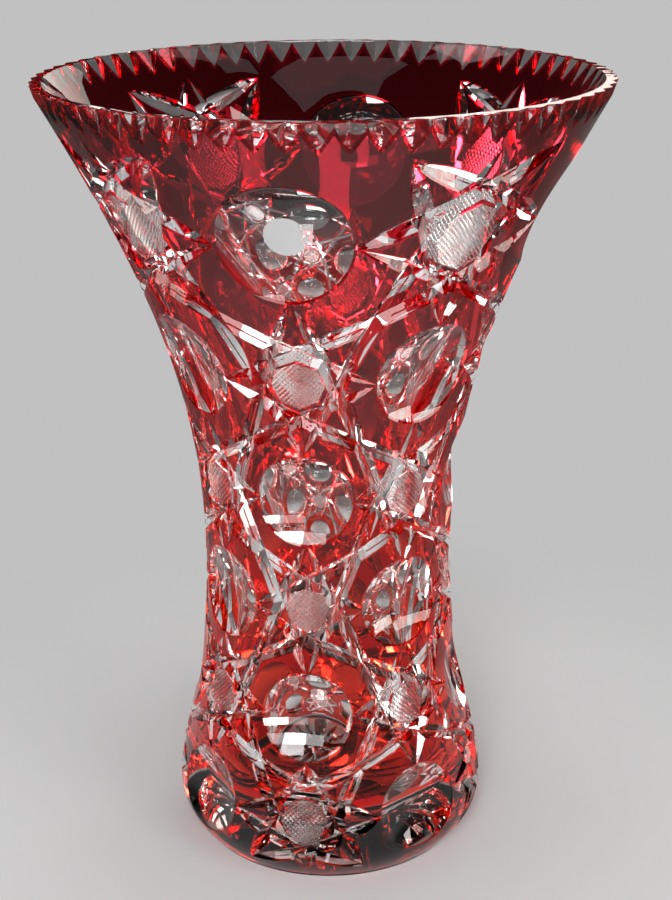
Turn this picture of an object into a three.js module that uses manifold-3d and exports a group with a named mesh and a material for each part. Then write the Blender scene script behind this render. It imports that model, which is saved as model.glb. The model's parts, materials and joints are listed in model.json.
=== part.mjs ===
// A cased crystal vase: a thick clear body under a thin ruby casing, cut through with stone wheels.
// Long mitre cuts tie cross-hatched buttons into eight-pointed stars, polished lens cuts open a
// round window in each ruby panel between them, and the rim is cut into a row of saw teeth.
// Millimetres, +Z up. The origin is the centre of the foot, on the surface that the vase stands on,
// and a column of the pattern with a lens at the top faces -Y.
import * as THREE from "three";
import { mergeVertices } from "three/addons/utils/BufferGeometryUtils.js";
import Module from "manifold-3d";

// Outline of the blown form: foot, heel, waist and flared rim
const height = 305;
const footRadius = 54.6;
const heelRadius = 62.5;
const heelHeight = 18;
const waistRadius = 48.8;
const waistHeight = 122;
const rimRadius = 106.4;
const rimSlope = 0.56; // outward run for each millimetre of rise at the rim
const footCurve = { out: 5.1, up: 6 }; // how the foot's edge sets off
const heelCurve = { below: 7.5, above: 22 }; // how far the heel keeps upright
const waistCurve = { below: 62, above: 60 }; // how far the waist keeps upright
const rimCurve = 75; // how far down the wall keeps the rim's slope

// Glass thicknesses
const casing = 0.5; // ruby layer
const bond = 0.3; // modelled gap between the two glasses, which are fused on the real vase
const waistWall = 10;
const rimWall = 5;
const baseThickness = 17;
const cavityFloorRadius = 30;
const lipBevel = 0.6;
const casingFoot = 1.5; // height at which the casing ends, above the ground foot

// Pattern: eight columns, and rows of buttons and lenses that alternate, from the foot up
const columns = 8;
const rowShares = [0.095, 0.23, 0.37, 0.518, 0.675, 0.852]; // of the height, from the foot up
const lensDepth = 6;
const buttonDepth = 1.2;
// Radii of the lenses, row by row, and of the buttons, as shares of the columns' spacing there
const lensShares = [0.377, 0.44, 0.469, 0.47, 0.428, 0.374];
const buttonShare = 0.2;

// Mitre cuts, which end at the stars' tips
const mitreWidth = 5.4;
const mitreDepth = 2.5;
const tipGap = 0.2; // from a tip to the lens that it points at
const topTip = { above: 34, acrossShare: 0.42, diagonal: 32 };
const footTip = { below: 23, acrossShare: 0.48, diagonal: 22 };

// Saw teeth of the rim
const teeth = 64;
const toothLength = 12.5;
const toothDepth = 2.6;
const toothShare = 0.78; // width of a cut at the edge, as a share of the pitch

// Underside: a shallow hollow with a star of mitre cuts, inside the ring that the vase stands on
const standingRing = 9;
const hollowDepth = 1.6;
const starRays = 16;
const starDepth = 1.8;
const starWidth = 4.2;
const starFull = 0.75; // share of a ray's half length that has the full depth

// Fineness of the model
const facets = 32; // round the vase
const mitreSteps = 4;
const lensSides = 12;
const lensRings = [2.2, 1, 0.75, 0.4]; // shares of a lens's area; the first stands above the glass
const heelSteps = 5;
const wallSteps = 8;
const cavitySteps = 8;
const bowlSteps = 4;
const nudge = 0.002; // share of a path stepped over to find its direction
const clear = 3; // how far a cutting tool stands above the glass
const leastPanel = 130; // cubic millimetres; the ruby lands inside the stars are smaller

const columnAngle = (2 * Math.PI) / columns;
const rowHeights = rowShares.map((share) => share * height);
const topRow = rowHeights.length - 1;

const wasm = await Module();
wasm.setup();

// Solids and meshes

function solidFrom(geometry) {
  const bare = geometry.clone();
  bare.deleteAttribute("normal");
  bare.deleteAttribute("uv");
  const merged = mergeVertices(bare, 1e-4);
  const corners = merged.index.array;
  const kept = [];
  for (let i = 0; i < corners.length; i += 3) {
    const [a, b, c] = corners.slice(i, i + 3);
    if (a !== b && b !== c && c !== a) kept.push(a, b, c);
  }
  return new wasm.Manifold(
    new wasm.Mesh({
      numProp: 3,
      vertProperties: new Float32Array(merged.attributes.position.array),
      triVerts: new Uint32Array(kept),
    }),
  );
}

function geometryFrom(solid) {
  const mesh = solid.getMesh();
  const places = new Float32Array(mesh.numVert * 3);
  for (let i = 0; i < mesh.numVert; i += 1) {
    const start = i * mesh.numProp;
    places.set(mesh.vertProperties.subarray(start, start + 3), i * 3);
  }
  const geometry = new THREE.BufferGeometry();
  geometry.setAttribute("position", new THREE.BufferAttribute(places, 3));
  geometry.setIndex(new THREE.BufferAttribute(mesh.triVerts, 1));
  geometry.computeVertexNormals();
  return geometry;
}

// A closed skin over rings of points, all with the same count: the first and last ring are capped.
function loft(rings) {
  const count = rings[0].length;
  const places = rings.flat().flatMap((p) => [p.x, p.y, p.z]);
  const faces = [];
  for (let ring = 0; ring < rings.length - 1; ring += 1) {
    for (let i = 0; i < count; i += 1) {
      const a = ring * count + i;
      const b = ring * count + ((i + 1) % count);
      faces.push(a, b, b + count, a, b + count, a + count);
    }
  }
  const last = (rings.length - 1) * count;
  for (let i = 1; i < count - 1; i += 1) {
    faces.push(0, i + 1, i, last, last + i, last + i + 1);
  }
  const geometry = new THREE.BufferGeometry();
  geometry.setAttribute("position", new THREE.Float32BufferAttribute(places, 3));
  geometry.setIndex(faces);
  const solid = solidFrom(geometry);
  if (solid.volume() > 0) return solid;
  return loft(rings.map((ring) => [...ring].reverse()));
}

// The outer surface

const outline = new THREE.CurvePath();
outline.add(
  new THREE.CubicBezierCurve(
    new THREE.Vector2(footRadius, 0),
    new THREE.Vector2(footRadius + footCurve.out, footCurve.up),
    new THREE.Vector2(heelRadius, heelHeight - heelCurve.below),
    new THREE.Vector2(heelRadius, heelHeight),
  ),
);
outline.add(
  new THREE.CubicBezierCurve(
    new THREE.Vector2(heelRadius, heelHeight),
    new THREE.Vector2(heelRadius, heelHeight + heelCurve.above),
    new THREE.Vector2(waistRadius, waistHeight - waistCurve.below),
    new THREE.Vector2(waistRadius, waistHeight),
  ),
);
outline.add(
  new THREE.CubicBezierCurve(
    new THREE.Vector2(waistRadius, waistHeight),
    new THREE.Vector2(waistRadius, waistHeight + waistCurve.above),
    new THREE.Vector2(rimRadius - rimSlope * rimCurve, height - rimCurve),
    new THREE.Vector2(rimRadius, height),
  ),
);
const outlineLength = outline.getLength();

// Point and outward normal of the outline at a distance along it, which may run past the rim.
function outlineAt(along) {
  const share = THREE.MathUtils.clamp(along / outlineLength, 0, 1);
  const point = outline.getPoint(share);
  const tangent = outline
    .getPoint(Math.min(share + nudge, 1))
    .sub(outline.getPoint(Math.max(share - nudge, 0)))
    .normalize();
  point.addScaledVector(tangent, along - share * outlineLength);
  return { point, normal: new THREE.Vector2(tangent.y, -tangent.x) };
}

function alongAtHeight(wanted) {
  let low = 0;
  let high = outlineLength;
  for (let step = 0; step < 40; step += 1) {
    const middle = (low + high) / 2;
    if (outlineAt(middle).point.y < wanted) low = middle;
    else high = middle;
  }
  return low;
}

// A point on the vase at an angle round it, a distance along the outline and a height off the glass.
function onGlass(angle, along, off) {
  const { point, normal } = outlineAt(along);
  const radius = point.x + normal.x * off;
  return new THREE.Vector3(radius * Math.sin(angle), -radius * Math.cos(angle), point.y + normal.y * off);
}

// Bodies of revolution. The points go up the outside, then down the inside or back to the axis.

function turned(points) {
  const solid = solidFrom(new THREE.LatheGeometry([...points, points[0]], facets).rotateX(Math.PI / 2));
  return solid.volume() > 0 ? solid : turned([...points].reverse());
}

// Distances along the outline, evenly spaced from one to another
const spaced = (from, to, steps) =>
  Array.from({ length: steps + 1 }, (_, i) => THREE.MathUtils.lerp(from, to, i / steps));

function offOutline(along, off) {
  const { point, normal } = outlineAt(along);
  return point.addScaledVector(normal, off);
}

// The skin of the glass at a distance off the outline, finer round the heel, and run on past the rim
function skin(off) {
  const heelEnd = alongAtHeight(heelHeight + heelCurve.above);
  return [
    ...spaced(0, heelEnd, heelSteps),
    ...spaced(heelEnd, outlineLength, wallSteps).slice(1),
    outlineLength + clear,
  ].map((along) => offOutline(along, off));
}

// The wall thins from the waist's thickness to the rim's over the upper part of the vase.
function cavityPoints() {
  const wallLow = alongAtHeight(heelHeight + waistWall + baseThickness);
  const wallTop = outlineLength - rimWall * 2;
  const wall = spaced(wallTop, wallLow, cavitySteps).map((along) => {
    const thinning = THREE.MathUtils.smoothstep(along, alongAtHeight(waistHeight), outlineLength);
    return offOutline(along, -THREE.MathUtils.lerp(waistWall, rimWall, thinning));
  });
  const lowest = wall[wall.length - 1];
  const bowl = new THREE.QuadraticBezierCurve(
    lowest,
    new THREE.Vector2(lowest.x, baseThickness),
    new THREE.Vector2(cavityFloorRadius, baseThickness),
  );
  const lip = rimRadius - rimWall * Math.hypot(1, rimSlope);
  return [
    new THREE.Vector2(lip + lipBevel, height),
    new THREE.Vector2(lip, height - lipBevel),
    ...wall,
    ...bowl.getPoints(bowlSteps).slice(1),
    new THREE.Vector2(0, baseThickness),
  ];
}

// Cutting tools

// A mitre cut between two places on the glass. It is deepest midway and runs out at both ends.
function mitre(from, to, steps, depth, halfWidth, depthShare) {
  const place = (share, off) =>
    onGlass(
      THREE.MathUtils.lerp(from.angle, to.angle, share),
      THREE.MathUtils.lerp(from.along, to.along, share),
      off,
    );
  const rings = spaced(0, Math.PI, steps).map((turn) => {
    const share = (1 - Math.cos(turn)) / 2;
    const here = depth * depthShare(share);
    const outward = place(share, 1).sub(place(share, 0));
    const onward = place(share + nudge, 0).sub(place(share - nudge, 0)).normalize();
    const across = outward.clone().cross(onward);
    const side = ((here + clear) * halfWidth) / depth;
    const top = place(share, clear);
    return [
      place(share, -here),
      top.clone().addScaledVector(across, side),
      top.clone().addScaledVector(across, -side),
    ];
  });
  return loft(rings);
}

const bothEnds = (share) => 1 - Math.abs(2 * share - 1) ** 6;

// A tool with a round or many-sided plan, laid on the glass: each ring is a radius and a height.
function dish(angle, along, sides, rings) {
  return loft(
    rings.map(({ radius, off }) =>
      Array.from({ length: sides }, (_, i) => {
        const turn = (2 * Math.PI * i) / sides;
        const up = along + radius * Math.sin(turn);
        return onGlass(angle + (radius * Math.cos(turn)) / outlineAt(up).point.x, up, off);
      }),
    ),
  );
}

// The pattern

const rowAlong = rowHeights.map(alongAtHeight);
const hasLens = (row, column) => (topRow - row + column) % 2 === 0;
const spacing = rowAlong.map((along) => columnAngle * outlineAt(along).point.x);
const lensRadii = lensShares.map((share, row) => share * spacing[row]);
const buttonReach = lensRadii.map((radius, row) => ({
  below: row > 0 ? rowAlong[row - 1] + lensRadii[row - 1] + tipGap : rowAlong[row] - footTip.below,
  above: row < topRow ? rowAlong[row + 1] - lensRadii[row + 1] - tipGap : rowAlong[row] + topTip.above,
  across: columnAngle * (1 - (radius + tipGap) / spacing[row]),
  button: buttonShare * spacing[row],
}));

// Lenses and teeth reach deep into the crystal. Buttons and mitres are cut through the casing only.
const deepTools = [];
const casingTools = [];
const addMitre = (from, to) =>
  casingTools.push(mitre(from, to, mitreSteps, mitreDepth, mitreWidth / 2, bothEnds));

for (let row = 0; row <= topRow; row += 1) {
  for (let column = 0; column < columns; column += 1) {
    const angle = column * columnAngle;
    const along = rowAlong[row];
    if (hasLens(row, column)) {
      const radius = lensRadii[row];
      const bowl = lensRings.map((share) => ({
        radius: radius * Math.sqrt(share),
        off: lensDepth * (share - 1),
      }));
      deepTools.push(dish(angle, along, lensSides, bowl));
      continue;
    }
    const here = buttonReach[row];
    casingTools.push(
      dish(angle, along, columns, [
        { radius: here.button, off: clear },
        { radius: here.button, off: -buttonDepth },
        { radius: here.button / 2, off: -buttonDepth },
      ]),
    );
    for (const side of [-1, 1]) {
      const outer = { angle: angle - side * here.across, along };
      if (row < topRow) {
        const next = buttonReach[row + 1];
        const nextAngle = angle + side * columnAngle;
        addMitre({ angle, along: here.below }, { angle: nextAngle, along: next.above });
        addMitre(outer, { angle: nextAngle + side * next.across, along: rowAlong[row + 1] });
      } else {
        const tip = {
          angle: angle + side * topTip.acrossShare * columnAngle,
          along: along + topTip.diagonal,
        };
        addMitre({ angle, along: here.below }, tip);
        addMitre(outer, tip);
      }
      if (row === 0) {
        const tip = {
          angle: angle + side * footTip.acrossShare * columnAngle,
          along: along - footTip.diagonal,
        };
        addMitre({ angle, along: here.above }, tip);
        addMitre(outer, tip);
      }
    }
  }
}

// Each saw cut deepens evenly towards the rim and runs out through it.
const toothAngle = (2 * Math.PI) / teeth;
const toothHalf = (toothShare * toothAngle * rimRadius) / 2;
for (let i = 0; i < teeth; i += 1) {
  const angle = (i + 0.5) * toothAngle;
  deepTools.push(
    mitre(
      { angle, along: outlineLength - toothLength },
      { angle, along: outlineLength + clear },
      1,
      toothDepth,
      toothHalf,
      (share) => (share * (toothLength + clear)) / toothLength,
    ),
  );
}

// Underside: the hollow's wall leans in, and the star's rays run out short of it.
const hollowRadius = footRadius - standingRing;
const hollow = turned([
  new THREE.Vector2(0, -clear),
  new THREE.Vector2(hollowRadius + clear, -clear),
  new THREE.Vector2(hollowRadius, 0),
  new THREE.Vector2(hollowRadius - hollowDepth, hollowDepth),
  new THREE.Vector2(0, hollowDepth),
]);
const rays = Array.from({ length: starRays / 2 }, (_, i) => {
  const reach = hollowRadius - 2 * hollowDepth;
  const section = (x, depth) => {
    const side = ((depth + hollowDepth) * starWidth) / 2 / starDepth;
    return [
      new THREE.Vector3(x, 0, hollowDepth + depth),
      new THREE.Vector3(x, side, 0),
      new THREE.Vector3(x, -side, 0),
    ];
  };
  const ray = loft([
    section(-reach, 0),
    section(-reach * starFull, starDepth),
    section(reach * starFull, starDepth),
    section(reach, 0),
  ]);
  return ray.rotate([0, 0, ((i + 0.5) * 360) / starRays]);
});

// The glass

const layer = (outer, inner, foot) =>
  turned([...skin(outer), ...skin(-inner).reverse()]).trimByPlane([0, 0, 1], foot);
const deepCuts = wasm.Manifold.union(deepTools);
const form = turned([new THREE.Vector2(0, 0), ...skin(0).slice(0, -1), ...cavityPoints()]);
const largest = (solid) =>
  solid.decompose().reduce((a, b) => (b.volume() > a.volume() ? b : a));
const cutForm = form
  .subtract(layer(clear, casing + bond, casingFoot - bond))
  .subtract(deepCuts)
  .subtract(hollow)
  .subtract(wasm.Manifold.union(rays));
const crystal = largest(cutForm);
const panels = layer(0, casing, casingFoot)
  .trimByPlane([0, 0, -1], -height)
  .subtract(deepCuts)
  .subtract(wasm.Manifold.union(casingTools))
  .decompose()
  .filter((piece) => piece.volume() > leastPanel);

// The group

const group = new THREE.Group();
group.name = "cased_crystal_vase";

function addPiece(name, solid, material) {
  const mesh = new THREE.Mesh(geometryFrom(solid), material);
  mesh.name = name;
  group.add(mesh);
}

addPiece(
  "crystal_body",
  crystal,
  new THREE.MeshStandardMaterial({ color: 0xdfe8ee, roughness: 0.05, transparent: true, opacity: 0.75 }),
);

// A ruby panel is named for its place: the band at the rim, the band at the foot, or one lens.
function panelName(panel) {
  const { min, max } = panel.boundingBox();
  if (max[2] > height - bond) return "ruby_rim_band";
  if (min[2] < casingFoot + bond) return "ruby_foot_band";
  const middle = [0, 1, 2].map((axis) => (min[axis] + max[axis]) / 2);
  const turn = Math.atan2(middle[0], -middle[1]) / columnAngle;
  const column = (Math.round(turn) + columns) % columns;
  const offRow = rowHeights.map((rowHeight) => Math.abs(rowHeight - middle[2]));
  return `ruby_window_row${offRow.indexOf(Math.min(...offRow)) + 1}_column${column + 1}`;
}

for (const panel of panels) {
  addPiece(panelName(panel), panel, new THREE.MeshStandardMaterial({ color: 0xa3101e, roughness: 0.05 }));
}

export default group;
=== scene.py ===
import json
import math

import bpy
import numpy as np
from mathutils import Matrix, Vector
from mathutils.geometry import interpolate_bezier

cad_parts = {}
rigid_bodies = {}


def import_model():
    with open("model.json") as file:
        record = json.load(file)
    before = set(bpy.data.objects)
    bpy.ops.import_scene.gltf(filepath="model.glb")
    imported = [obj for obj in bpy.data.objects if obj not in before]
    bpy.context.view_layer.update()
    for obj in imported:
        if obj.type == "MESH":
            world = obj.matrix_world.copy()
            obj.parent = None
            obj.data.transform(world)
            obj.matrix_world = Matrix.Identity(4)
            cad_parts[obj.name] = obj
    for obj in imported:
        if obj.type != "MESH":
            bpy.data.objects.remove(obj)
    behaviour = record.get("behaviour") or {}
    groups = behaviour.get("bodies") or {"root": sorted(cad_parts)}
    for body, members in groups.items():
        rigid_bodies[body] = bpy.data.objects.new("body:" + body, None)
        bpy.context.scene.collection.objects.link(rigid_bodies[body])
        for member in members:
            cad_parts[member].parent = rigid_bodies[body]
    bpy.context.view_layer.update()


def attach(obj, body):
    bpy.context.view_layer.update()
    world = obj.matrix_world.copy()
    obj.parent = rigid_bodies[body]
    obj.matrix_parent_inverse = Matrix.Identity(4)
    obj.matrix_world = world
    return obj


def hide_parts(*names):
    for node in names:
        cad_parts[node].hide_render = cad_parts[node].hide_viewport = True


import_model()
bpy.ops.object.select_all(action="DESELECT")
scene = bpy.context.scene

# The camera stands a little to the right of a column of lenses and looks down on the vase, from
# so near that the flared rim opens into an ellipse.
camera_distance = 0.6076
camera_height = 0.3883
camera_turn = 0.167
camera_aside = 0.0057
camera_tilt = 0.36
camera_roll = -0.008
camera_lens = 66.1
camera_near_limit = 0.01
bpy.ops.object.camera_add(
    location=(
        camera_distance * math.sin(camera_turn),
        -camera_distance * math.cos(camera_turn),
        camera_height,
    )
)
camera = bpy.context.object
camera.rotation_euler = (
    Matrix.Rotation(camera_turn - camera_aside, 3, "Z")
    @ Matrix.Rotation(math.pi / 2 - camera_tilt, 3, "X")
    @ Matrix.Rotation(camera_roll, 3, "Z")
).to_euler()
camera.data.lens = camera_lens
camera.data.clip_start = camera_near_limit
scene.camera = camera

# The studio: soft lamps round a pale floor that takes the vase's shadow and fades into a plain grey
# surround. Only the glass sees the black cards and the dark mat: they are painted shade, sheets that
# stand for the dark room and give cut crystal its dark lines.
backdrop_grey = 0.533
room_light = 0.2
floor_paint_grey = 0.4
floor_size = 8
shadow_reach = (0.07, 0.34)
vase_middle = Vector((0, 0, 0.15))
lamp_distance = 1.5
white = (1.0, 1.0, 1.0)
warm = (1.0, 0.94, 0.86)
cool = (0.9, 0.95, 1.0)
card_shade_grey = 0.01
card_count = 8
card_elevation = 24
card_distance = 2
card_size = (1.7, 2.1)
top_card_size = (2.4, 2.4)
mat_shade_grey = 0.1
mat_radius = 2.3
mat_opening = 0.066
mat_sides = 64
mat_lift = 0.0006
mat_fade = (0.12, 0.4)
deep_glass_bounces = 40
glossy_bounces = 16
clear_bounces = 64
scene.view_settings.view_transform = "Standard"
scene.cycles.max_bounces = deep_glass_bounces
scene.cycles.transmission_bounces = deep_glass_bounces
scene.cycles.glossy_bounces = glossy_bounces
scene.cycles.transparent_max_bounces = clear_bounces


def shader_tree(owner):
    """An empty node tree and its links."""
    owner.use_nodes = True
    tree = owner.node_tree
    tree.nodes.clear()
    return tree, tree.links


def add_node(tree, kind, **sockets):
    """A node with its sockets set. An underscore stands for the space in a socket's name."""
    node = tree.nodes.new("ShaderNode" + kind)
    for name, value in sockets.items():
        node.inputs[name.replace("_", " ")].default_value = value
    return node


def grey(level):
    return (level, level, level, 1)


def fade_off(tree, links, reach, near, far):
    """A value that runs smoothly from near to far, as a place on the floor lies further off."""
    distance = add_node(tree, "VectorMath")
    distance.operation = "LENGTH"
    links.new(add_node(tree, "TexCoord").outputs["Object"], distance.inputs[0])
    fade = add_node(tree, "MapRange", From_Min=reach[0], From_Max=reach[1], To_Min=near, To_Max=far)
    fade.interpolation_type = "SMOOTHSTEP"
    links.new(distance.outputs["Value"], fade.inputs["Value"])
    return fade.outputs[0]


world = bpy.data.worlds.new("studio_surround")
scene.world = world
tree, links = shader_tree(world)
ray = add_node(tree, "LightPath")
seen = add_node(tree, "Math")
seen.operation = "MAXIMUM"
links.new(ray.outputs["Is Camera Ray"], seen.inputs[0])
links.new(ray.outputs["Is Glossy Ray"], seen.inputs[1])
seen_or_through = add_node(tree, "Math")
seen_or_through.operation = "MAXIMUM"
links.new(seen.outputs[0], seen_or_through.inputs[0])
links.new(ray.outputs["Is Transmission Ray"], seen_or_through.inputs[1])
room = add_node(tree, "Background", Color=grey(room_light))
surround = add_node(tree, "Background", Color=grey(backdrop_grey))
choice = add_node(tree, "MixShader")
links.new(seen_or_through.outputs[0], choice.inputs["Fac"])
links.new(room.outputs[0], choice.inputs[1])
links.new(surround.outputs[0], choice.inputs[2])
links.new(choice.outputs[0], add_node(tree, "OutputWorld").inputs["Surface"])

bpy.ops.mesh.primitive_plane_add(size=floor_size)
floor = bpy.context.object
floor.name = "studio_floor"
floor_paint = bpy.data.materials.new("pale_floor")
tree, links = shader_tree(floor_paint)
matt = add_node(tree, "BsdfDiffuse", Color=grey(floor_paint_grey))
glow = add_node(tree, "Emission", Color=grey(backdrop_grey))
blend = add_node(tree, "MixShader")
links.new(fade_off(tree, links, shadow_reach, 0, 1), blend.inputs["Fac"])
links.new(matt.outputs[0], blend.inputs[1])
links.new(glow.outputs[0], blend.inputs[2])
links.new(blend.outputs[0], add_node(tree, "OutputMaterial").inputs["Surface"])
floor.data.materials.append(floor_paint)


def face_vase(thing, azimuth, elevation, distance):
    """Puts a lamp or a card round the vase, turned to face the middle of it."""
    turn, lift = math.radians(azimuth), math.radians(elevation)
    level = Vector((math.sin(turn), -math.cos(turn), 0)) * math.cos(lift)
    place = vase_middle + distance * (level + Vector((0, 0, math.sin(lift))))
    thing.location = place
    thing.rotation_euler = (vase_middle - place).to_track_quat("-Z", "Y").to_euler()
    thing.visible_camera = False


def softbox(name, azimuth, elevation, size, brightness, colour):
    """A lamp with a rectangular face of the given brightness."""
    bpy.ops.object.light_add(type="AREA")
    lamp = bpy.context.object
    lamp.name = name
    lamp.data.shape = "RECTANGLE"
    lamp.data.size, lamp.data.size_y = size
    lamp.data.energy = brightness * math.pi * size[0] * size[1]
    lamp.data.color = colour
    face_vase(lamp, azimuth, elevation, lamp_distance)


# Painted shade: near-black cards that stand for the dark room round the vase.
card_shade_paint = bpy.data.materials.new("shade_card")
tree, links = shader_tree(card_shade_paint)
links.new(
    add_node(tree, "BsdfDiffuse", Color=grey(card_shade_grey)).outputs[0],
    add_node(tree, "OutputMaterial").inputs["Surface"],
)
# Painted shade on the mat that only the glass sees: floor grey near the vase, darkening further off
# towards the dark room.
mat_paint = bpy.data.materials.new("dark_mat_shade")
tree, links = shader_tree(mat_paint)
painted_mat_shade = add_node(tree, "BsdfDiffuse")
links.new(fade_off(tree, links, mat_fade, floor_paint_grey, mat_shade_grey), painted_mat_shade.inputs["Color"])
links.new(painted_mat_shade.outputs[0], add_node(tree, "OutputMaterial").inputs["Surface"])


def out_of_picture(card, paint):
    """Only the glass sees this card of painted shade: it gives the glass its dark lines and casts no
    shadow.
    """
    card.data.materials.append(paint)
    card.visible_camera = False
    card.visible_shadow = False
    card.visible_diffuse = False


def shade_card(name, azimuth, elevation, size):
    bpy.ops.mesh.primitive_plane_add(size=1)
    card = bpy.context.object
    card.name = name
    card.scale = (size[0], size[1], 1)
    face_vase(card, azimuth, elevation, card_distance)
    out_of_picture(card, card_shade_paint)


for name, azimuth, elevation, size, brightness, colour in (
    ("overhead", 0, 90, (0.5, 0.5), 8.5, white),
    ("window_behind_camera", 1, 25, (0.42, 0.38), 26.0, cool),
    ("window_surround", 0, 26, (1.15, 0.4), 6.5, white),
    ("front_high", 2, 40, (0.42, 0.42), 12.0, white),
    ("front_low", 15, 1, (0.42, 0.29), 22.0, warm),
    ("front_low_surround", 12, 1, (1.1, 0.29), 4.5, white),
    ("right_high", 60, 40, (0.32, 0.42), 7.0, warm),
    ("right_front", 45, 25, (0.38, 0.37), 9.0, cool),
    ("right", 68, 12, (0.75, 0.32), 6.6, warm),
    ("right_low", 90, 1, (0.39, 0.29), 8.6, warm),
    ("back_right_low", 150, 1, (0.39, 0.29), 26.0, warm),
    ("back", 170, 22, (0.8, 0.45), 2.0, warm),
    ("back_high", 188, 72, (0.5, 0.42), 5.0, cool),
    ("left", 245, 12, (0.6, 0.32), 4.5, warm),
    ("front_left", 303, 12, (0.6, 0.32), 5.2, warm),
    ("left_high", 270, 56, (0.6, 0.42), 1.6, cool),
):
    softbox(name, azimuth, elevation, size, brightness, colour)
for place in range(card_count):
    shade_card(f"card_{place + 1}", place * 360 / card_count, card_elevation, card_size)
shade_card("card_above", 0, 90, top_card_size)
bpy.ops.mesh.primitive_circle_add(
    vertices=mat_sides, radius=mat_radius, fill_type="NGON", location=(0, 0, mat_lift)
)
floor_shade_mat = bpy.context.object
floor_shade_mat.name = "floor_shade_mat"
bpy.ops.object.mode_set(mode="EDIT")
bpy.ops.mesh.inset(thickness=mat_radius - mat_opening)
bpy.ops.mesh.delete(type="FACE")
bpy.ops.object.mode_set(mode="OBJECT")
out_of_picture(floor_shade_mat, mat_paint)

# The blown form: one heavy gather of lead crystal, blown and flared. Its outer surface is worked
# out flat, as a strip that is laid round the form by a map that keeps every angle, so that a wheel
# cut keeps its place and its shape as the vase widens. Across is the turn, along runs up the wall.
mm = 0.001
height = 305 * mm
foot_radius = 54.6 * mm
heel_height = 18 * mm
waist_height = 122 * mm
rim_radius = 106.4 * mm
outline_curves = [
    [(54.6, 0), (59.7, 6), (62.5, 10.5), (62.5, 18)],
    [(62.5, 18), (62.5, 40), (48.8, 60), (48.8, 122)],
    [(48.8, 122), (48.8, 182), (64.4, 230), (106.4, 305)],
]
curve_points = 100
casing = 0.5 * mm
seam = 0.03 * mm
casing_foot = 1.5 * mm
waist_wall = 10 * mm
rim_wall = 5 * mm
lip_bevel = 0.6 * mm
lip_levelling = 9 * mm
base_thickness = 17 * mm
cavity_floor_radius = 30 * mm

columns = 8
strip_radius = 60 * mm
column_width = 2 * math.pi / columns * strip_radius
strip_columns = 20
strip_row = 2.5 * mm
slab_depth = 9 * mm
tiny = 0.002 * mm
merge_reach = 0.01 * mm
seam_reach = 0.012 * mm

outline = np.concatenate(
    [
        [
            point[:2]
            for point in interpolate_bezier(*[Vector((*knot, 0)) * mm for knot in curve], curve_points)
        ][index > 0:]
        for index, curve in enumerate(outline_curves)
    ]
)
outline_steps = np.linalg.norm(np.diff(outline, axis=0), axis=1)
middle_radii = (outline[1:, 0] + outline[:-1, 0]) / 2
strip_along = np.concatenate([[0], np.cumsum(outline_steps * strip_radius / middle_radii)])
strip_height = float(strip_along[-1])
tangents = np.gradient(outline, np.concatenate([[0], np.cumsum(outline_steps)]), axis=0)
tangents /= np.linalg.norm(tangents, axis=1)[:, None]
rim_lean = tangents[-1, 1]


def along_at(z):
    """How far along the strip the outline reaches a height."""
    return float(np.interp(z, outline[:, 1], strip_along))


def radius_at(along):
    """The radius of the outline so far along the strip."""
    return float(np.interp(along, strip_along, outline[:, 0]))


def smooth(share):
    """Eases a share between 0 and 1 in and out."""
    share = np.clip(share, 0, 1)
    return share * share * (3 - 2 * share)


def wrap(points):
    """Points of the strip (across, along, off the glass) laid round the vase. The normal turns
    level over the last stretch, so that the ground rim is flat on top."""
    across, along, off = points.T
    radius, z, out, up = [
        np.interp(along, strip_along, column)
        for column in (outline[:, 0], outline[:, 1], tangents[:, 1], -tangents[:, 0])
    ]
    level = smooth((along - strip_height) / lip_levelling + 1)
    radius = radius + (out * (1 - level) + level / rim_lean) * off
    turn = across / strip_radius
    z = z + up * (1 - level) * off
    return np.stack([radius * np.sin(turn), -radius * np.cos(turn), z], axis=1)


def points_of(piece):
    points = np.empty(len(piece.data.vertices) * 3, dtype=np.float32)
    piece.data.vertices.foreach_get("co", points)
    return points.reshape(-1, 3).astype(float)


def set_points(piece, points):
    piece.data.vertices.foreach_set("co", points.astype(np.float32).ravel())
    piece.data.update()


def select_only(*pieces):
    bpy.ops.object.select_all(action="DESELECT")
    for piece in pieces:
        piece.select_set(True)
    bpy.context.view_layer.objects.active = pieces[0]


def edit_all(piece):
    """Opens a piece in edit mode with all of it selected."""
    select_only(piece)
    bpy.ops.object.mode_set(mode="EDIT")
    bpy.ops.mesh.select_all(action="SELECT")


def close_up():
    """Merges what lies together in the open piece, turns its faces outwards and leaves edit mode."""
    bpy.ops.mesh.select_all(action="SELECT")
    bpy.ops.mesh.remove_doubles(threshold=merge_reach)
    bpy.ops.mesh.normals_make_consistent(inside=False)
    bpy.ops.object.mode_set(mode="OBJECT")


def weld_seams(piece):
    """Merges only the open edges of a piece, which leaves the finest facets of the cuts alone."""
    edit_all(piece)
    bpy.ops.mesh.select_mode(type="VERT")
    bpy.ops.mesh.select_all(action="DESELECT")
    bpy.ops.mesh.select_non_manifold(extend=False, use_wire=False, use_multi_face=False)
    bpy.ops.mesh.remove_doubles(threshold=seam_reach)
    bpy.ops.mesh.select_all(action="SELECT")
    bpy.ops.mesh.normals_make_consistent(inside=False)
    bpy.ops.object.mode_set(mode="OBJECT")


def join(pieces):
    """Makes one piece of several and gives it back."""
    select_only(*pieces)
    if len(pieces) > 1:
        bpy.ops.object.join()
    return pieces[0]


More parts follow.
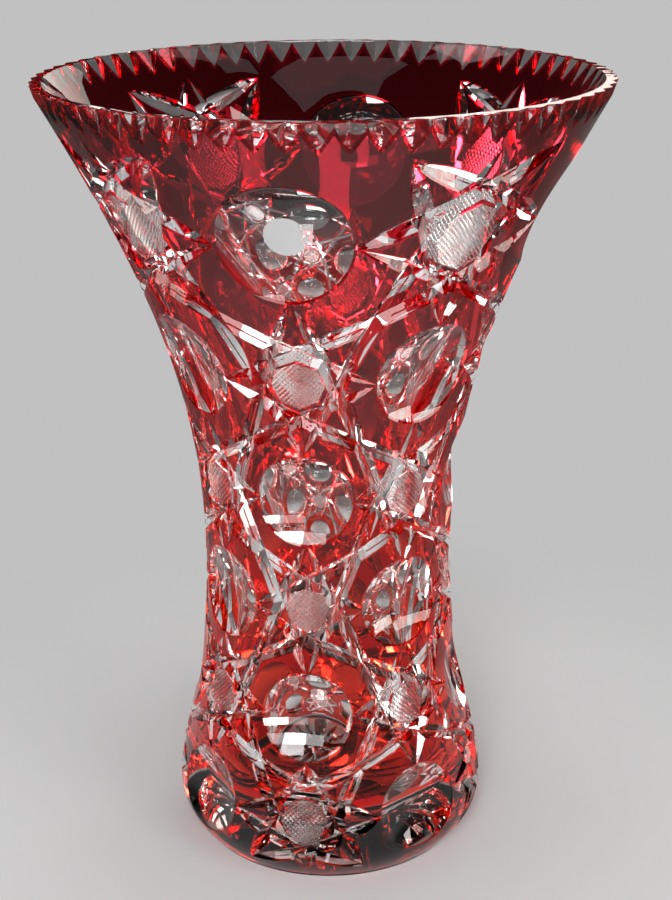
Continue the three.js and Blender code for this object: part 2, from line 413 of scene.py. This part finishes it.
def strip_slab(name, top, bottom):
    """A slab of the strip as wide as one column, gridded so that it can bend."""
    low = along_at(casing_foot)
    rows = round((strip_height - low) / strip_row)
    bpy.ops.object.select_all(action="DESELECT")
    bpy.ops.mesh.primitive_grid_add(
        x_subdivisions=strip_columns,
        y_subdivisions=rows,
        size=1,
        location=(column_width / 2, (low + strip_height) / 2, top),
    )
    slab = bpy.context.object
    slab.name = name
    slab.scale = (column_width, strip_height - low, 1)
    bpy.ops.object.transform_apply(location=True, rotation=True, scale=True)
    edit_all(slab)
    bpy.ops.mesh.extrude_region_move(TRANSFORM_OT_translate={"value": (0, 0, bottom - top)})
    close_up()
    return slab


# The cuts, ground with wheels through the ruby into the clear glass and then polished: long mitres
# that cross into eight-pointed stars, hatched buttons in the stars, round lenses between them, and
# saw teeth all round the rim. They are modelled as the shapes that the wheels take away.
row_shares = (0.095, 0.23, 0.37, 0.518, 0.675, 0.852)
lens_shares = (0.377, 0.44, 0.469, 0.47, 0.428, 0.374)
lens_depth = 6 * mm
lens_segments = 72
lens_rings = 80
mitre_halves = (2.9 * mm, 3.2 * mm, 3.7 * mm, 3.6 * mm, 3.2 * mm, 2.7 * mm)
mitre_depth = 3.3 * mm
mitre_steps = 24
mitre_run_out = 5
mitre_columns = range(-2, 4)
tip_overshoots = (0, 1.2 * mm, 1.8 * mm, 1.8 * mm, 0.6 * mm, 0)
button_radii = (9.4 * mm, 10.4 * mm, 11.2 * mm, 10.6 * mm, 9.6 * mm, 9.8 * mm)
button_sides = 8
button_depth = 0.6 * mm
hatch_pitch = 1.45 * mm
hatch_depth = 0.6 * mm
top_tip = (0.42 * column_width, 22.5 * mm)
foot_tip = (0.48 * column_width, 21.3 * mm)
lowest_tip = 22.6 * mm
highest_tip = 24.6 * mm
teeth = 64
tooth_pitch = column_width * columns / teeth
tooth_length = 12.5 * mm
tooth_depth = 2.6 * mm
tooth_share = 1.45
tooth_arch = 0.75
tooth_steps = 10
past_rim = 1.25
clear = 3 * mm

top_row = len(row_shares) - 1
row_along = [along_at(share * height) for share in row_shares]
row_scale = [strip_radius / radius_at(along) for along in row_along]
lens_plan = [share * column_width for share in lens_shares]
wheel_cuts = bpy.data.collections.new("wheel_cuts")
scene.collection.children.link(wheel_cuts)


def keep_as_cut(piece):
    """Puts a shape with the others that the wheels take away."""
    wheel_cuts.objects.link(piece)
    scene.collection.objects.unlink(piece)


def vee(name, steps, depth, depth_share):
    """A V-shaped cut, one unit long and one wide to each side, as deep as asked at each share."""
    bpy.ops.object.select_all(action="DESELECT")
    bpy.ops.mesh.primitive_grid_add(x_subdivisions=steps, y_subdivisions=2, size=1)
    cut = bpy.context.object
    cut.name = name
    points = points_of(cut)
    share = points[:, 0] + 0.5
    side = np.sign(np.round(points[:, 1], 3))
    valley = depth * depth_share(share)
    width = side * (valley + clear) / depth
    set_points(cut, np.stack([share, width, np.where(side == 0, -valley, clear)], axis=1))
    edit_all(cut)
    bpy.ops.mesh.extrude_region_move(TRANSFORM_OT_translate={"value": (0, 0, clear)})
    bpy.ops.mesh.select_all(action="SELECT")
    bpy.ops.mesh.normals_make_consistent(inside=False)
    bpy.ops.object.mode_set(mode="OBJECT")
    return cut


def lay_cut(model, start, end, half_width):
    """Lays a copy of a cut between two places of the strip."""
    run = Vector(end) - Vector(start)
    cut = model.copy()
    cut.location = (*start, 0)
    cut.rotation_euler = (0, 0, math.atan2(run.y, run.x))
    cut.scale = (run.length, half_width, 1)
    wheel_cuts.objects.link(cut)


def lens_cut(across, along, plan):
    """A round hollow: the cap of a ball."""
    ball = (plan * plan + lens_depth * lens_depth) / (2 * lens_depth)
    bpy.ops.object.select_all(action="DESELECT")
    bpy.ops.mesh.primitive_uv_sphere_add(
        segments=lens_segments,
        ring_count=lens_rings,
        radius=ball,
        location=(across, along, ball - lens_depth),
    )
    cut = bpy.context.object
    edit_all(cut)
    bpy.ops.mesh.bisect(
        plane_co=(across, along, clear), plane_no=(0, 0, 1), use_fill=True, clear_outer=True
    )
    bpy.ops.object.mode_set(mode="OBJECT")
    keep_as_cut(cut)


def button_cut(across, along, radius, pitch):
    """An eight-sided hollow whose floor is a field of small pyramids, left by fine crossed cuts."""
    cells = math.ceil(2 * radius / pitch) + 1
    bpy.ops.object.select_all(action="DESELECT")
    bpy.ops.mesh.primitive_grid_add(x_subdivisions=cells, y_subdivisions=cells, size=cells * pitch)
    cut = bpy.context.object
    edit_all(cut)
    bpy.ops.mesh.poke(offset=hatch_depth)
    bpy.ops.object.mode_set(mode="OBJECT")
    cut.rotation_euler = (0, 0, math.pi / 4)
    cut.location = (across, along, -button_depth - hatch_depth)
    bpy.ops.object.transform_apply(location=True, rotation=True, scale=True)
    edit_all(cut)
    bpy.ops.mesh.extrude_region_move(TRANSFORM_OT_translate={"value": (0, 0, 3 * clear)})
    bpy.ops.mesh.select_all(action="SELECT")
    bpy.ops.mesh.normals_make_consistent(inside=False)
    bpy.ops.object.mode_set(mode="OBJECT")
    bpy.ops.object.select_all(action="DESELECT")
    bpy.ops.mesh.primitive_cylinder_add(
        vertices=button_sides, radius=radius, depth=6 * clear, location=(across, along, 0)
    )
    plan = bpy.context.object
    select_only(cut)
    trim = cut.modifiers.new("eight_sides", "BOOLEAN")
    trim.operation = "INTERSECT"
    trim.solver = "MANIFOLD"
    trim.object = plan
    bpy.ops.object.modifier_apply(modifier=trim.name)
    bpy.data.objects.remove(plan)
    keep_as_cut(cut)


def has_lens(row, column):
    """Lenses and stars take turns, from column to column and from row to row."""
    return (top_row - row + column) % 2 == 0


def reach_across(row):
    """How far a star's side tips lie from its middle: at or just past the edge of the next lens."""
    return column_width - lens_plan[row] + tip_overshoots[row]


def tip_below(row):
    """Where a star's lowest tip lies along the strip."""
    if row == 0:
        return row_along[0] - lowest_tip
    return row_along[row - 1] + lens_plan[row - 1] - tip_overshoots[row]


def tip_above(row):
    """Where a star's highest tip lies along the strip."""
    if row == top_row:
        return row_along[top_row] + highest_tip
    return row_along[row + 1] - lens_plan[row + 1] + tip_overshoots[row]


def star_cuts(row, column):
    """The ends of the mitres that set out from one star, to both sides and upwards."""
    across, along = column * column_width, row_along[row]
    cuts = []
    for side in (-1, 1):
        outer = (across - side * reach_across(row), along)
        if row < top_row:
            far = across + side * (column_width + reach_across(row + 1))
            above = (across + side * column_width, tip_above(row + 1))
            cuts.append(((across, tip_below(row)), above))
            cuts.append((outer, (far, row_along[row + 1])))
        else:
            tip = (across + side * top_tip[0], along + top_tip[1])
            cuts += [((across, tip_below(row)), tip), (outer, tip)]
        if row == 0:
            tip = (across + side * foot_tip[0], along - foot_tip[1])
            cuts += [((across, tip_above(row)), tip), (outer, tip)]
    return cuts


mitre = vee(
    "mitre",
    mitre_steps,
    mitre_depth,
    lambda share: 1 - np.abs(2 * share - 1) ** mitre_run_out,
)
for row in range(top_row + 1):
    for column in (0, 1):
        across = column * column_width
        if has_lens(row, column):
            lens_cut(across, row_along[row], lens_plan[row])
        else:
            button_cut(across, row_along[row], button_radii[row], hatch_pitch * row_scale[row])
    for column in mitre_columns:
        if has_lens(row, column):
            continue
        half_width = (mitre_halves[row] + mitre_halves[min(row + 1, top_row)]) / 2
        for start, end in star_cuts(row, column):
            left, right = sorted((start[0], end[0]))
            if left < column_width + half_width and right > -half_width:
                lay_cut(mitre, start, end, half_width)

tooth = vee("tooth", tooth_steps, tooth_depth, lambda share: (share * past_rim) ** tooth_arch)
flat_tooth_length = tooth_length * strip_radius / rim_radius
for place in range(teeth // columns):
    across = (place + 0.5) * tooth_pitch
    start = (across, strip_height - flat_tooth_length)
    end = (across, start[1] + past_rim * flat_tooth_length)
    lay_cut(tooth, start, end, tooth_share * tooth_pitch / 2)


def cut_with_wheels(piece):
    """Takes all the cuts out of a piece."""
    select_only(piece)
    cutting = piece.modifiers.new("wheels", "BOOLEAN")
    cutting.operation = "DIFFERENCE"
    cutting.solver = "MANIFOLD"
    cutting.operand_type = "COLLECTION"
    cutting.collection = wheel_cuts
    bpy.ops.object.modifier_apply(modifier=cutting.name)
    piece.data.materials.clear()


bpy.context.view_layer.update()
crystal_body = strip_slab("crystal_body_cut", -casing - seam, -slab_depth)
cut_with_wheels(crystal_body)
ruby = strip_slab("ruby", 0, -casing)
cut_with_wheels(ruby)
for cut in [mitre, tooth, *wheel_cuts.objects]:
    bpy.data.objects.remove(cut)

# The clear body, of lead crystal: the cut outside, a blown cavity and a ground underside with a star
# cut into it. Under the ruby the two glasses are fused, so the crystal's face there bends no light.
crystal_tint = (0.97, 0.985, 0.98)
crystal_ior = 1.545
polish_wave = 0.006
polish_height = 0.00002
blowing_wave = 0.022
blowing_height = 0.00012
scuffed_height = 0.4 * mm
scuffed_roughness = 0.35
hatch_roughness = 0.2
facet_angle = math.radians(22)
mirror_reach = 0.005 * mm
wall_steps = 49
bowl_steps = 17
floor_steps = 9
standing_ring = 9 * mm
hollow_depth = 1.6 * mm
star_rays = 16
star_ray_depth = 1.8 * mm
star_ray_half = 2.1 * mm
star_full_share = 0.75
star_ray_steps = 8
edge_margin = 0.05 * mm


def glass(name, colour, ior, wave, wave_height, roughness=0):
    """Polished or greyed glass that keeps the soft waves of its making."""
    material = bpy.data.materials.new(name)
    tree, links = shader_tree(material)
    shader = add_node(
        tree,
        "BsdfPrincipled",
        Base_Color=(*colour, 1),
        Roughness=roughness,
        IOR=ior,
        Transmission_Weight=1,
    )
    waves = add_node(tree, "TexNoise", Scale=1 / wave, Detail=1)
    links.new(add_node(tree, "TexCoord").outputs["Object"], waves.inputs["Vector"])
    bump = add_node(tree, "Bump", Strength=1, Distance=wave_height)
    links.new(waves.outputs["Fac"], bump.inputs["Height"])
    links.new(bump.outputs[0], shader.inputs["Normal"])
    links.new(shader.outputs[0], add_node(tree, "OutputMaterial").inputs["Surface"])
    return material


def fused_face(name, colour):
    """A face between two fused glasses: it tints the light and doesn't bend it."""
    material = bpy.data.materials.new(name)
    tree, links = shader_tree(material)
    through = add_node(tree, "BsdfTransparent", Color=(*colour, 1))
    links.new(through.outputs[0], add_node(tree, "OutputMaterial").inputs["Surface"])
    return material


def scuff(material, height):
    """Fine grinding marks on the ring that the vase stands on."""
    tree = material.node_tree
    links = tree.links
    place = add_node(tree, "SeparateXYZ")
    links.new(add_node(tree, "TexCoord").outputs["Object"], place.inputs[0])
    low = add_node(tree, "MapRange", From_Min=height, From_Max=0, To_Min=0, To_Max=scuffed_roughness)
    links.new(place.outputs["Z"], low.inputs["Value"])
    links.new(low.outputs[0], tree.nodes["Principled BSDF"].inputs["Roughness"])


def mark_faces(piece, test, enough=all):
    """Selects the faces of which all the corners, or any, pass a test on their places."""
    good = test(points_of(piece))
    chosen = [enough(good[corner] for corner in face.vertices) for face in piece.data.polygons]
    select_only(piece)
    bpy.ops.object.mode_set(mode="EDIT")
    bpy.ops.mesh.select_mode(type="FACE")
    bpy.ops.mesh.select_all(action="DESELECT")
    bpy.ops.object.mode_set(mode="OBJECT")
    piece.data.polygons.foreach_set("select", chosen)
    bpy.ops.object.mode_set(mode="EDIT")


def delete_faces(piece, test):
    mark_faces(piece, test)
    bpy.ops.mesh.delete(type="FACE")
    bpy.ops.object.mode_set(mode="OBJECT")


def paint_faces(piece, finish, test):
    mark_faces(piece, test)
    piece.active_material_index = piece.data.materials.find(finish.name)
    bpy.ops.object.material_slot_assign()
    bpy.ops.object.mode_set(mode="OBJECT")


def at_left_side(points):
    return points[:, 0] < tiny


def at_right_side(points):
    return points[:, 0] > column_width - tiny


def open_sides(piece):
    """Takes away the slab's two side walls, where it meets its mirror images. The faces beside them
    are made triangles first, so that none keeps a thin spike along a wall."""
    mark_faces(piece, lambda points: at_left_side(points) | at_right_side(points), any)
    bpy.ops.mesh.quads_convert_to_tris(ngon_method="CLIP")
    bpy.ops.object.mode_set(mode="OBJECT")
    delete_faces(piece, at_left_side)
    delete_faces(piece, at_right_side)


def round_the_vase(piece):
    """Wraps one column of the slab on the vase, and repeats it with its mirror image."""
    set_points(piece, wrap(points_of(piece)))
    select_only(piece)
    mirror = piece.modifiers.new("other_half", "MIRROR")
    mirror.use_clip = True
    mirror.merge_threshold = mirror_reach
    bpy.ops.object.modifier_apply(modifier=mirror.name)
    quarters = [piece]
    for quarter_turn in range(1, 4):
        select_only(piece)
        bpy.ops.object.duplicate()
        quarters.append(bpy.context.object)
        edit_all(quarters[-1])
        bpy.ops.transform.rotate(
            value=quarter_turn * math.pi / 2, orient_axis="Z", center_override=(0, 0, 0)
        )
        bpy.ops.object.mode_set(mode="OBJECT")
    join(quarters)
    weld_seams(piece)


def turned(name, profile):
    """A profile of radii and heights spun round the vase's axis."""
    bpy.ops.object.select_all(action="DESELECT")
    bpy.ops.mesh.primitive_circle_add(vertices=len(profile), radius=rim_radius)
    piece = bpy.context.object
    piece.name = name
    edit_all(piece)
    bpy.ops.mesh.delete(type="EDGE_FACE")
    bpy.ops.object.mode_set(mode="OBJECT")
    set_points(piece, np.array([(0, -radius, z) for radius, z in profile]))
    piece.data.edges.add(len(profile) - 1)
    piece.data.edges.foreach_set(
        "vertices", [end for start in range(len(profile) - 1) for end in (start, start + 1)]
    )
    edit_all(piece)
    bpy.ops.mesh.spin(
        steps=columns * strip_columns, angle=2 * math.pi, center=(0, 0, 0), axis=(0, 0, 1)
    )
    close_up()
    return piece


crystal = glass("cut_crystal", crystal_tint, crystal_ior, polish_wave, polish_height)
scuff(crystal, scuffed_height)
under_ruby = fused_face("crystal_under_ruby", (1, 1, 1))
blown_crystal = glass("blown_crystal", crystal_tint, crystal_ior, blowing_wave, blowing_height)
hatched_crystal = glass(
    "hatched_crystal", crystal_tint, crystal_ior, polish_wave, polish_height, hatch_roughness
)
for finish in (crystal, under_ruby, blown_crystal, hatched_crystal):
    crystal_body.data.materials.append(finish)
casing_low = along_at(casing_foot)
open_sides(crystal_body)
delete_faces(crystal_body, lambda points: points[:, 2] < -slab_depth + tiny)
delete_faces(crystal_body, lambda points: points[:, 1] < casing_low + tiny)
paint_faces(crystal_body, under_ruby, lambda points: abs(points[:, 2] + casing + seam) < tiny)


def in_hatching(points):
    """True for the points of the strip that lie on the floor of a hatched button."""
    across, along, off = points.T
    found = np.zeros(len(points), dtype=bool)
    for row in range(top_row + 1):
        button_across = column_width if has_lens(row, 0) else 0
        near = np.hypot(across - button_across, along - row_along[row]) < button_radii[row]
        found |= near & (off < -casing - seam) & (off > -button_depth - hatch_depth - tiny)
    return found


paint_faces(crystal_body, hatched_crystal, in_hatching)
points = points_of(crystal_body)
points[points[:, 2] < -slab_depth + tiny, 2] = lip_bevel * rim_lean - rim_wall
set_points(crystal_body, points)

foot_edge = (abs(points[:, 1] - casing_low) < tiny) & (abs(points[:, 2] + casing + seam) < tiny)
select_only(crystal_body)
bpy.ops.object.mode_set(mode="EDIT")
bpy.ops.mesh.select_mode(type="EDGE")
bpy.ops.mesh.select_all(action="DESELECT")
bpy.ops.object.mode_set(mode="OBJECT")
for edge in crystal_body.data.edges:
    edge.select = all(foot_edge[end] for end in edge.vertices)
bpy.ops.object.mode_set(mode="EDIT")
bpy.ops.mesh.extrude_edges_move(TRANSFORM_OT_translate={"value": (0, 0, casing + seam)})
bpy.ops.mesh.extrude_edges_move(TRANSFORM_OT_translate={"value": (0, -casing_low, 0)})
bpy.ops.object.mode_set(mode="OBJECT")
crystal_body.data.update()
round_the_vase(crystal_body)


def wall_inside(along):
    """Radius and height of the cavity's wall, which thins from the waist to the rim."""
    thinning = smooth((along - along_at(waist_height)) / (strip_height - along_at(waist_height)))
    wall = waist_wall * (1 - thinning) + rim_wall * thinning
    place = wrap(np.array([[0.0, along, -wall]]))[0]
    return (-place[1], place[2])


lip_radius = rim_radius - rim_wall / rim_lean
wall_top = strip_height - 2 * rim_wall * strip_radius / rim_radius
wall_low = along_at(heel_height + waist_wall + base_thickness)
wall = [wall_inside(along) for along in np.linspace(wall_top, wall_low, wall_steps)]
bowl = interpolate_bezier(
    Vector((*wall[-1], 0)),
    Vector((wall[-1][0], wall[-1][1] / 3 + base_thickness * 2 / 3, 0)),
    Vector(((wall[-1][0] * 2 + cavity_floor_radius) / 3, base_thickness, 0)),
    Vector((cavity_floor_radius, base_thickness, 0)),
    bowl_steps,
)
cavity_profile = [(lip_radius + lip_bevel, height), (lip_radius, height - lip_bevel), *wall]
cavity_profile += [tuple(point[:2]) for point in bowl[1:]]
floor_radii = np.linspace(cavity_floor_radius, 0, floor_steps)
cavity_profile += [(radius, base_thickness) for radius in floor_radii[1:]]
cavity = turned("cavity", cavity_profile)
cavity.data.materials.append(blown_crystal)

hollow_radius = foot_radius - standing_ring
hollow_top = hollow_radius - hollow_depth
disc_top = 2 * (hollow_depth + star_ray_depth)
underside = turned(
    "underside",
    [
        (0, disc_top),
        (foot_radius, disc_top),
        (foot_radius, 0),
        (hollow_radius, 0),
        (hollow_top, hollow_depth),
        (0, hollow_depth),
    ],
)
mark_faces(underside, lambda points: points[:, 2] > hollow_depth - tiny)
bpy.ops.mesh.dissolve_faces()
bpy.ops.object.mode_set(mode="OBJECT")
star_reach = hollow_radius - 2 * hollow_depth
ray = vee(
    "ray",
    star_ray_steps,
    star_ray_depth,
    lambda share: np.clip((1 - abs(2 * share - 1)) / (1 - star_full_share), 0, 1),
)
for index in range(star_rays // 2):
    turn = (index + 0.5) * 2 * math.pi / star_rays
    away = Vector((math.cos(turn), math.sin(turn))) * star_reach
    lay_cut(ray, -away, away, star_ray_half)
for cut in wheel_cuts.objects:
    cut.location.z = hollow_depth
    cut.scale.z = -1
bpy.data.objects.remove(ray)
bpy.context.view_layer.update()
cut_with_wheels(underside)
for cut in list(wheel_cuts.objects):
    bpy.data.objects.remove(cut)
underside.data.materials.append(crystal)
delete_faces(underside, lambda points: points[:, 2] > disc_top - tiny)
ring_edge = foot_radius - edge_margin
delete_faces(underside, lambda points: np.hypot(points[:, 0], points[:, 1]) > ring_edge)

join([crystal_body, cavity, underside])
weld_seams(crystal_body)
bpy.ops.object.shade_smooth_by_angle(angle=facet_angle)
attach(crystal_body, "root")
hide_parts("crystal_body")

# The ruby casing: a thin layer of red glass, fused on while hot, before the cutting. The cuts leave
# a band at the rim, one at the foot, a window round each lens between them, and small lands inside
# the stars.
ruby_ior = 1.53
ruby_low = (0.93, 0.07, 0.035)
ruby_high = (0.68, 0.035, 0.065)
film_low = (0.96, 0.2, 0.13)
film_high = (0.86, 0.12, 0.18)
ruby_turns = (0.1, 0.27)
lens_edge_reach = 0.3 * mm


def by_height(material, shader, socket, low, high):
    """Runs a colour from vermilion at the foot to crimson at the rim."""
    tree = material.node_tree
    links = tree.links
    place = add_node(tree, "SeparateXYZ")
    links.new(add_node(tree, "TexCoord").outputs["Object"], place.inputs[0])
    rise = add_node(tree, "MapRange", From_Min=ruby_turns[0], From_Max=ruby_turns[1])
    links.new(place.outputs["Z"], rise.inputs["Value"])
    colour = add_node(tree, "Mix")
    colour.data_type = "RGBA"
    links.new(rise.outputs[0], colour.inputs["Factor"])
    colour.inputs["A"].default_value = (*low, 1)
    colour.inputs["B"].default_value = (*high, 1)
    links.new(colour.outputs["Result"], tree.nodes[shader].inputs[socket])


ruby_glass = glass("ruby_casing", ruby_low, ruby_ior, blowing_wave, blowing_height)
by_height(ruby_glass, "Principled BSDF", "Base Color", ruby_low, ruby_high)
ruby_film = fused_face("ruby_inner_face", film_low)
by_height(ruby_film, "Transparent BSDF", "Color", film_low, film_high)
ruby.data.materials.append(ruby_glass)
ruby.data.materials.append(ruby_film)
paint_faces(ruby, ruby_film, lambda points: abs(points[:, 2] + casing) < tiny)
open_sides(ruby)


def loose_pieces(piece):
    """Parts a mesh into its loose pieces."""
    select_only(piece)
    bpy.ops.object.mode_set(mode="EDIT")
    bpy.ops.mesh.separate(type="LOOSE")
    bpy.ops.object.mode_set(mode="OBJECT")
    return list(bpy.context.selected_objects)


def row_of(piece):
    """The row of the lens whose edge a piece of the casing touches, or None for a star's land."""
    across, along, off = points_of(piece).T
    if along.max() > strip_height - tiny:
        return top_row
    if along.min() < casing_low + tiny:
        return 0
    for row in range(top_row + 1):
        lens_across = 0 if has_lens(row, 0) else column_width
        gaps = np.hypot(across - lens_across, along - row_along[row]) - lens_plan[row]
        if gaps.min() < lens_edge_reach:
            return row
    return None


def finish_ruby(piece, name):
    piece.name = name
    piece.data.name = name
    weld_seams(piece)
    bpy.ops.object.shade_smooth_by_angle(angle=facet_angle)
    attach(piece, "root")


ruby_rows = {}
for piece in loose_pieces(ruby):
    ruby_rows.setdefault(row_of(piece), []).append(piece)
for row, pieces in ruby_rows.items():
    whole = join(pieces)
    round_the_vase(whole)
    if row is None:
        finish_ruby(whole, "ruby_star_lands")
    elif row in (0, top_row):
        node = "ruby_rim_band" if row else "ruby_foot_band"
        finish_ruby(whole, node + "_cut")
        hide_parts(node)
    else:
        windows = {}
        for piece in loose_pieces(whole):
            middle = points_of(piece).mean(axis=0)
            column = round(math.atan2(middle[0], -middle[1]) / (2 * math.pi) * columns) % columns
            windows.setdefault(column, []).append(piece)
        for column, parts in windows.items():
            node = f"ruby_window_row{row + 1}_column{column + 1}"
            window = join(parts)
            finish_ruby(window, node + "_cut")
            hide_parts(node)
bpy.data.collections.remove(wheel_cuts)
